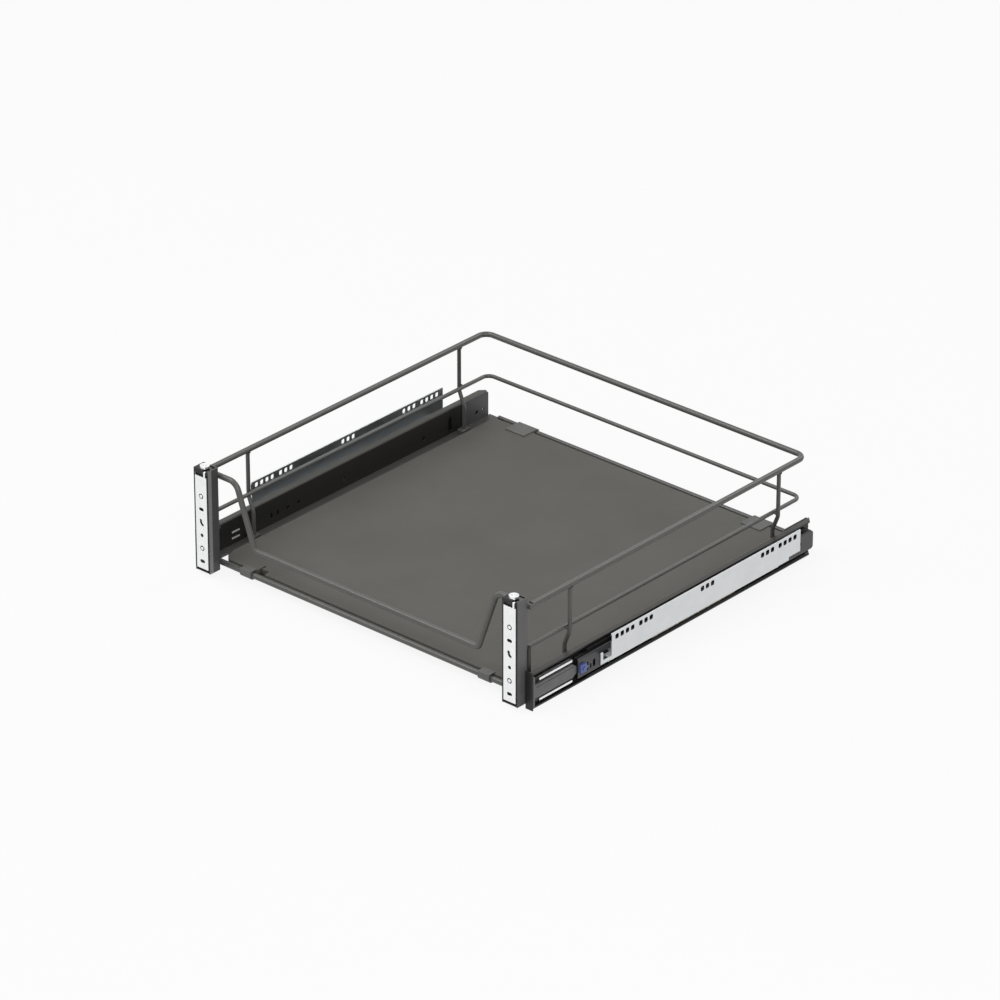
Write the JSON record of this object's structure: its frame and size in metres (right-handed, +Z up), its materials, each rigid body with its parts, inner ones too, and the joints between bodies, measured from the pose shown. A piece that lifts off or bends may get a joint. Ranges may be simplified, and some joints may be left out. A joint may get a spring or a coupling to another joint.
{
  "type": "pull-out drawer",
  "caption": "Telescopic pull-out drawer frame for a base cabinet: ball slides with soft closing, wire basket rails, tray board and front brackets with height adjusters.",
  "frame": {"origin": "midway between the cabinet walls, at the drawer front plane, level with the bottom edge of the front brackets", "axes": "+X to the right seen from the front, +Y into the cabinet, +Z up; the drawer opens towards -Y"},
  "size_m": [0.564, 0.5212, 0.142],
  "materials": {
    "galvanised": "galvanised sheet",
    "rail_grey": "dark grey satin coat",
    "rail_black": "blackened steel",
    "cage": "bronze tinted strip",
    "balls": "polished steel",
    "steel": "bright steel",
    "dark_steel": "blackened rivet",
    "zinc": "bright zinc plate",
    "frame_grey": "anthracite powder coat",
    "wire": "anthracite powder coat",
    "black_plastic": "black moulding",
    "grey_plastic": "grey moulding",
    "blue_plastic": "blue moulding",
    "board": "matt warm grey coating on board"
  },
  "bodies": {
    "cabinet_side": {"left_cabinet_plate": "galvanised", "right_cabinet_plate": "galvanised", "left_cabinet_rail": "rail_grey", "right_cabinet_rail": "rail_grey", "left_plate_rivets": "steel", "right_plate_rivets": "steel", "left_catch_pin": "steel", "right_catch_pin": "steel"},
    "drawer": {"left_drawer_rail": "rail_black", "right_drawer_rail": "rail_black", "left_side_angle": "frame_grey", "right_side_angle": "frame_grey", "left_angle_rivets": "dark_steel", "right_angle_rivets": "dark_steel", "left_bracket_ear": "frame_grey", "right_bracket_ear": "frame_grey", "left_closer_housing": "grey_plastic", "right_closer_housing": "grey_plastic", "left_closer_strips": "zinc", "right_closer_strips": "zinc", "left_bracket_sheath": "frame_grey", "right_bracket_sheath": "frame_grey", "left_bracket_insert": "black_plastic", "right_bracket_insert": "black_plastic", "left_posts": "wire", "right_posts": "wire", "tray_board": "board", "top_rail": "wire", "lower_rail": "wire", "front_rail": "wire", "front_rod": "wire", "rear_rod": "wire", "post_feet": "black_plastic", "front_clips": "black_plastic", "rear_clips": "black_plastic"},
    "left_middle": {"left_middle_rail": "rail_black", "left_middle_buffers": "black_plastic"},
    "left_outer_ball_cage": {"left_outer_cage": "cage", "left_outer_balls": "balls"},
    "left_inner_ball_cage": {"left_inner_cage": "cage", "left_inner_balls": "balls"},
    "left_catch_lever": {"left_catch": "blue_plastic"},
    "left_front_fixing": {"left_front_plate": "zinc", "left_front_pins": "zinc"},
    "left_adjuster_screw": {"left_adjuster": "zinc"},
    "right_middle": {"right_middle_rail": "rail_black", "right_middle_buffers": "black_plastic"},
    "right_outer_ball_cage": {"right_outer_cage": "cage", "right_outer_balls": "balls"},
    "right_inner_ball_cage": {"right_inner_cage": "cage", "right_inner_balls": "balls"},
    "right_catch_lever": {"right_catch": "blue_plastic"},
    "right_front_fixing": {"right_front_plate": "zinc", "right_front_pins": "zinc"},
    "right_adjuster_screw": {"right_adjuster": "zinc"}
  },
  "joints": [
    {"name": "drawer_slide", "type": "slide", "parent": "cabinet_side", "child": "drawer", "axis": [0, -1, 0], "range_m": [0, 0.48]},
    {"name": "left_middle_slide", "type": "slide", "parent": "cabinet_side", "child": "left_middle", "axis": [0, -1, 0], "range_m": [0, 0.24]},
    {"name": "left_outer_cage_slide", "type": "slide", "parent": "cabinet_side", "child": "left_outer_ball_cage", "axis": [0, -1, 0], "range_m": [0, 0.36]},
    {"name": "left_inner_cage_slide", "type": "slide", "parent": "cabinet_side", "child": "left_inner_ball_cage", "axis": [0, -1, 0], "range_m": [0, 0.12]},
    {"name": "left_catch_pivot", "type": "hinge", "parent": "cabinet_side", "child": "left_catch_lever", "pos_m": [-0.2671, 0.095, 0.0184], "axis": [1, 0, 0], "range_deg": [-12, 12], "stiffness_Nm_per_rad": 0.02},
    {"name": "left_adjuster_turn", "type": "hinge", "parent": "drawer", "child": "left_adjuster_screw", "pos_m": [-0.24, 0.008, 0.12], "axis": [0, 0, 1], "range_deg": [-720, 720]},
    {"name": "left_front_height", "type": "slide", "parent": "drawer", "child": "left_front_fixing", "axis": [0, 0, 1], "range_m": [-0.002, 0.002]},
    {"name": "right_middle_slide", "type": "slide", "parent": "cabinet_side", "child": "right_middle", "axis": [0, -1, 0], "range_m": [0, 0.24]},
    {"name": "right_outer_cage_slide", "type": "slide", "parent": "cabinet_side", "child": "right_outer_ball_cage", "axis": [0, -1, 0], "range_m": [0, 0.36]},
    {"name": "right_inner_cage_slide", "type": "slide", "parent": "cabinet_side", "child": "right_inner_ball_cage", "axis": [0, -1, 0], "range_m": [0, 0.12]},
    {"name": "right_catch_pivot", "type": "hinge", "parent": "cabinet_side", "child": "right_catch_lever", "pos_m": [0.2671, 0.095, 0.0184], "axis": [1, 0, 0], "range_deg": [-12, 12], "stiffness_Nm_per_rad": 0.02},
    {"name": "right_adjuster_turn", "type": "hinge", "parent": "drawer", "child": "right_adjuster_screw", "pos_m": [0.239, 0.008, 0.12], "axis": [0, 0, 1], "range_deg": [-720, 720]},
    {"name": "right_front_height", "type": "slide", "parent": "drawer", "child": "right_front_fixing", "axis": [0, 0, 1], "range_m": [-0.002, 0.002]}
  ],
  "couplings": [
    {"joint": "left_middle_slide", "follows": "drawer_slide", "ratio": 0.5},
    {"joint": "left_outer_cage_slide", "follows": "drawer_slide", "ratio": 0.75},
    {"joint": "left_inner_cage_slide", "follows": "drawer_slide", "ratio": 0.25},
    {"joint": "left_adjuster_turn", "follows": "left_front_height", "rad_per_m": 6283},
    {"joint": "right_middle_slide", "follows": "drawer_slide", "ratio": 0.5},
    {"joint": "right_outer_cage_slide", "follows": "drawer_slide", "ratio": 0.75},
    {"joint": "right_inner_cage_slide", "follows": "drawer_slide", "ratio": 0.25},
    {"joint": "right_adjuster_turn", "follows": "right_front_height", "rad_per_m": 6283}
  ]
}
